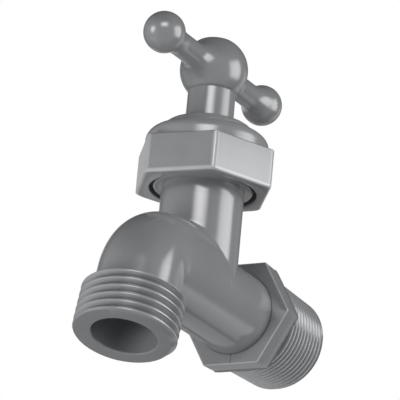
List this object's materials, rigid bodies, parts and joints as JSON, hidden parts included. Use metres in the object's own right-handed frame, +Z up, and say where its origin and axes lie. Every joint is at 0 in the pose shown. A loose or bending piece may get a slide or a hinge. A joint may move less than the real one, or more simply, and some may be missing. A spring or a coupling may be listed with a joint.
{
  "type": "hose bibb",
  "caption": "Plastic hose bibb: male pipe inlet, hexagon, neck with a bonnet nut, T-handle with ball ends, and a leaning spout with a male hose thread.",
  "frame": {"origin": "on the inlet axis, at the gauge plane of the pipe thread, 8.6 mm in from its open end", "axes": "+Y along the inlet out of its open end and into the wall, +Z up the stem, +X to the right seen from the outlet side towards the wall"},
  "size_m": [0.0378, 0.0952, 0.0947],
  "materials": {
    "body_plastic": "grey moulded plastic, satin gloss",
    "nut_plastic": "grey moulded plastic, satin gloss, faintly mottled flats",
    "handle_plastic": "grey moulded plastic, glossier",
    "inner_plastic": "natural acetal",
    "rubber_seal": "black rubber",
    "screw_brass": "turned brass",
    "stainless": "stainless steel"
  },
  "bodies": {
    "valve": {"valve_body": "body_plastic", "bonnet_nut": "nut_plastic", "stem_bushing": "inner_plastic", "bushing_gasket": "rubber_seal", "slip_ring": "inner_plastic"},
    "seat_disc": {"disc_holder": "inner_plastic", "seat_washer": "rubber_seal", "washer_retainer": "stainless", "washer_screw": "screw_brass"},
    "spindle": {"stem": "handle_plastic", "stem_o_ring_lower": "rubber_seal", "stem_o_ring_upper": "rubber_seal", "disc_clip": "stainless", "handle": "handle_plastic", "handle_screw": "stainless", "handle_screw_washer": "stainless"}
  },
  "joints": [
    {"name": "stem_lift", "type": "slide", "parent": "valve", "child": "seat_disc", "axis": [0, 0, 1], "range_m": [0, 0.005]},
    {"name": "handle_turn", "type": "hinge", "parent": "seat_disc", "child": "spindle", "pos_m": [0, -0.0409, 0.0601], "axis": [0, 0, 1], "range_deg": [0, 720]}
  ],
  "couplings": [
    {"joint": "stem_lift", "follows": "handle_turn", "m_per_rad": 0.00039788}
  ]
}
